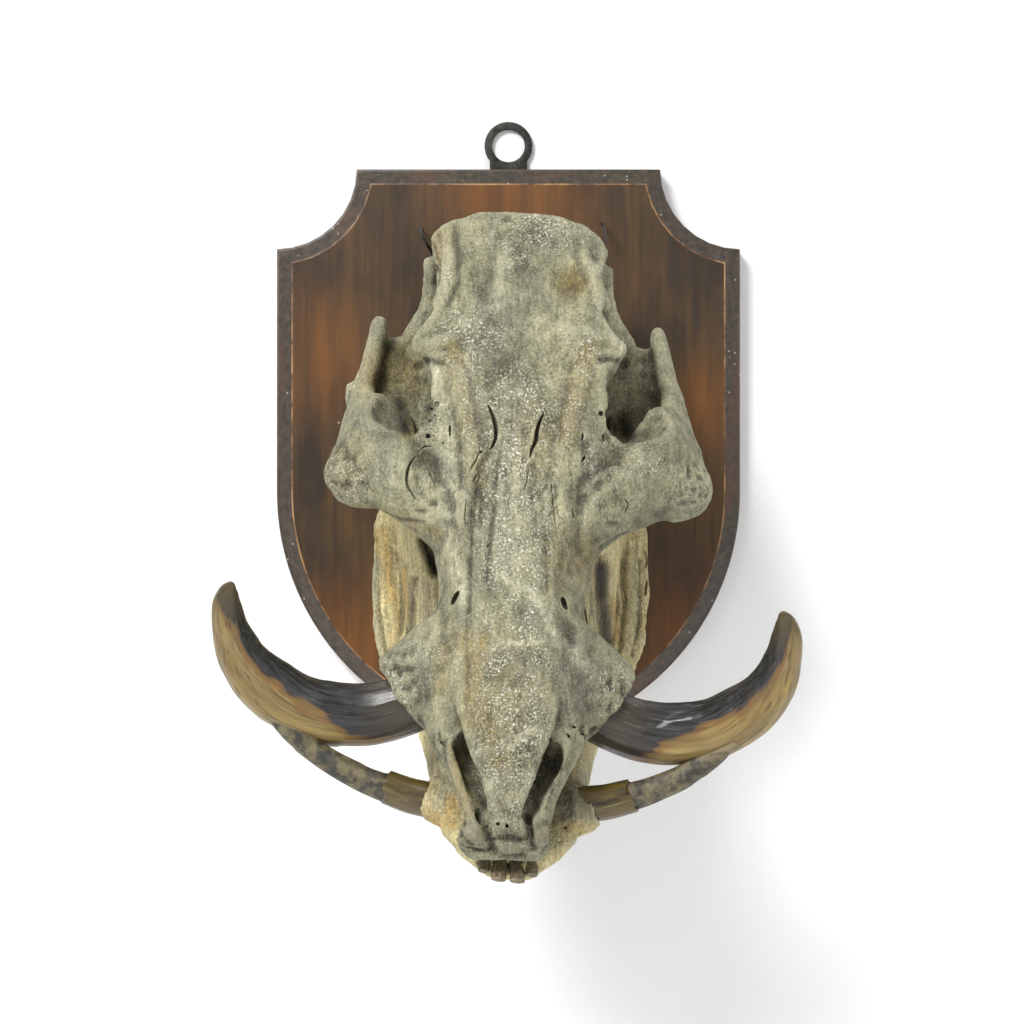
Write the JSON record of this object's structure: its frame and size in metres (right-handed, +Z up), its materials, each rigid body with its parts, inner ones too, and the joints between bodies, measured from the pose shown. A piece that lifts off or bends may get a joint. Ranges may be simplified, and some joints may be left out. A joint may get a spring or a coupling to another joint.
{
  "type": "mounted warthog skull",
  "caption": "Warthog skull with curved upper and lower tusks, wired snout down to a chamfered wooden wall shield with an iron hanging ring.",
  "frame": {"origin": "centre of the shield's flat back face, where it lies against the wall", "axes": "+X to the viewer's right, +Y out of the back into the wall, +Z up towards the hanging ring; the skull stands out along -Y"},
  "size_m": [0.3058, 0.2915, 0.4219],
  "materials": {
    "shield_wood": "dark reddish brown stained hardwood, polished, with a near black chamfered rim and small pale chips",
    "ring_iron": "dark oxidised iron, slightly rough",
    "screw_steel": "dull old steel",
    "cranium_bone": "old dry bone, matt grey to olive with cream flecks, ochre stains and fine pores",
    "mandible_bone": "old dry bone, warmer tan, ribbed along the flange",
    "upper_tusk_ivory": "polished slate grey band above, ochre and orange brown below, fine ridges along its length",
    "lower_tusk_ivory": "glossy olive brown outer layer near the jaw, dull grey brown where it has broken away",
    "tooth_enamel": "stained worn enamel",
    "wire_iron": "thin dark annealed wire"
  },
  "bodies": {
    "root": {"shield": "shield_wood", "hanging_ring": "ring_iron", "hanger_screw_upper": "screw_steel", "hanger_screw_lower": "screw_steel", "cranium": "cranium_bone", "mandible": "mandible_bone", "upper_tusk_left": "upper_tusk_ivory", "upper_tusk_right": "upper_tusk_ivory", "lower_tusk_left": "lower_tusk_ivory", "lower_tusk_right": "lower_tusk_ivory", "lower_incisor_1": "tooth_enamel", "lower_incisor_2": "tooth_enamel", "lower_incisor_3": "tooth_enamel", "lower_incisor_4": "tooth_enamel", "upper_molar_second_left": "tooth_enamel", "upper_molar_second_right": "tooth_enamel", "upper_molar_third_left": "tooth_enamel", "upper_molar_third_right": "tooth_enamel", "lower_molar_second_left": "tooth_enamel", "lower_molar_second_right": "tooth_enamel", "lower_molar_third_left": "tooth_enamel", "lower_molar_third_right": "tooth_enamel", "fixing_wire_left": "wire_iron", "fixing_wire_right": "wire_iron"}
  },
  "joints": []
}
